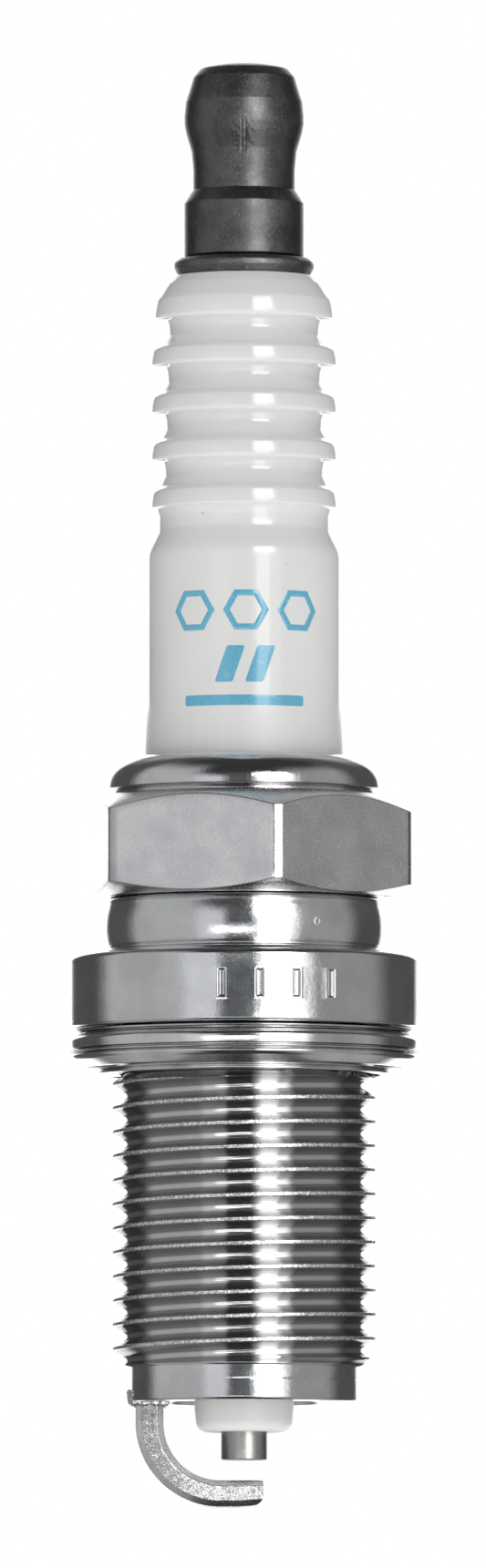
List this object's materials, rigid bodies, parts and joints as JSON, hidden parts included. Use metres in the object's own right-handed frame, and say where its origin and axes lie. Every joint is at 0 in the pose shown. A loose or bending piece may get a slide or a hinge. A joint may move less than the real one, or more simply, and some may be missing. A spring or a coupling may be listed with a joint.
{
  "type": "spark plug",
  "caption": "Threaded ignition plug with a ribbed ceramic insulator, hex shell, folded seat gasket, screw-on terminal and a side strap over its firing end.",
  "frame": {"origin": "centre of the gasket's lower face, where the plug rests on the cylinder head", "axes": "+Z along the plug's axis towards the terminal, -X towards the side strap's root"},
  "size_m": [0.0186, 0.0186, 0.0752],
  "materials": {
    "terminal_steel": "satin",
    "alumina": "gloss",
    "seal_glass": "satin",
    "resistor": "matte",
    "nickel_alloy": "satin",
    "copper": "satin",
    "plated_steel": "satin",
    "talc": "matte",
    "gasket_steel": "satin"
  },
  "bodies": {
    "plug": {"insulator": "alumina", "upper_glass_seal": "seal_glass", "resistor": "resistor", "lower_glass_seal": "seal_glass", "centre_electrode": "nickel_alloy", "centre_electrode_core": "copper", "shell": "plated_steel", "upper_packing_ring": "plated_steel", "talc_fill": "talc", "lower_packing_ring": "plated_steel", "seat_washer": "plated_steel", "ground_electrode": "nickel_alloy", "strap_weld": "nickel_alloy", "terminal_stud": "terminal_steel"},
    "gasket": {"gasket": "gasket_steel"},
    "terminal_nut": {"terminal_nut": "terminal_steel"}
  },
  "joints": [
    {"name": "gasket_spin", "type": "hinge", "parent": "plug", "child": "gasket", "pos_m": [0, 0, 0.0012], "axis": [0, 0, 1], "continuous": true},
    {"name": "terminal_nut_lift", "type": "slide", "parent": "plug", "child": "terminal_nut", "axis": [0, 0, 1], "range_m": [0, 0.01]}
  ]
}
